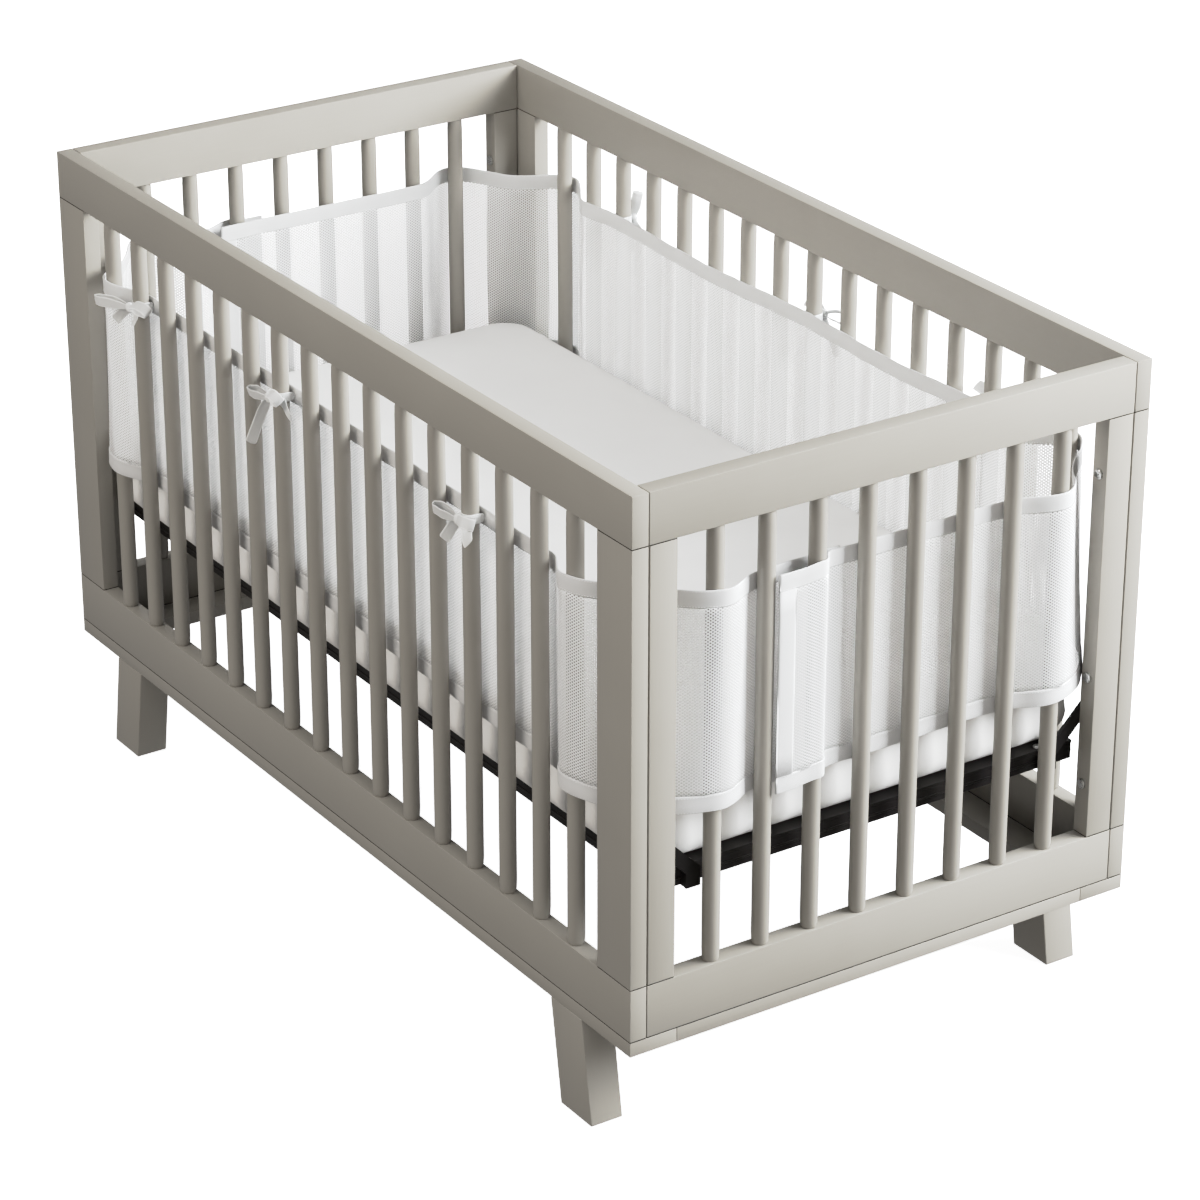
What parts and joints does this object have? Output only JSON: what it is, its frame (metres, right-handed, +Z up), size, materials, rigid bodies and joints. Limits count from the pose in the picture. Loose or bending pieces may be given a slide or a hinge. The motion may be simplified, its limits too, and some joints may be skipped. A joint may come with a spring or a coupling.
{
  "type": "crib bumper with crib and mattress",
  "caption": "Mesh crib bumper: see-through white liner panels with bound edges, woven round the slats and tied with ribbon bows, shown on a plain slatted crib with its mattress.",
  "frame": {"origin": "on the floor, midway between the feet, at the middle of the bounding box's base", "axes": "+Z up, +X along the crib's length towards the foot end, whose liner overlap faces the camera, -Y towards the long side whose ties face the camera"},
  "size_m": [1.3964, 0.8046, 0.853],
  "materials": {
    "grey_paint": "satin grey-taupe paint over solid wood",
    "black_steel": "black powder coat",
    "white_sheet": "plain white fitted sheet, woven",
    "white_mesh": "white see-through warp-knitted mesh",
    "white_binding": "white folded binding tape, matte",
    "white_ribbon": "white ribbon, soft sheen"
  },
  "bodies": {
    "root": {"crib_front_side": "grey_paint", "crib_back_side": "grey_paint", "crib_foot_end": "grey_paint", "crib_head_end": "grey_paint", "base_front_plank": "grey_paint", "base_back_plank": "grey_paint", "base_foot_plank": "grey_paint", "base_head_plank": "grey_paint", "leg_front_foot": "grey_paint", "leg_front_head": "grey_paint", "leg_back_foot": "grey_paint", "leg_back_head": "grey_paint", "support_deck": "black_steel", "support_front_rail": "black_steel", "support_back_rail": "black_steel", "support_foot_rail": "black_steel", "support_head_rail": "black_steel", "hanger_front_foot": "black_steel", "hanger_front_head": "black_steel", "hanger_back_foot": "black_steel", "hanger_back_head": "black_steel", "mattress": "white_sheet", "liner_front_mesh": "white_mesh", "liner_back_mesh": "white_mesh", "liner_front_top_binding": "white_binding", "liner_front_bottom_binding": "white_binding", "liner_front_first_band": "white_binding", "liner_front_last_band": "white_binding", "liner_back_top_binding": "white_binding", "liner_back_bottom_binding": "white_binding", "liner_back_first_band": "white_binding", "liner_back_last_band": "white_binding", "tie_front_1": "white_ribbon", "tie_front_2": "white_ribbon", "tie_front_3": "white_ribbon", "tie_back_1": "white_ribbon", "tie_back_2": "white_ribbon", "tie_back_3": "white_ribbon"}
  },
  "joints": []
}
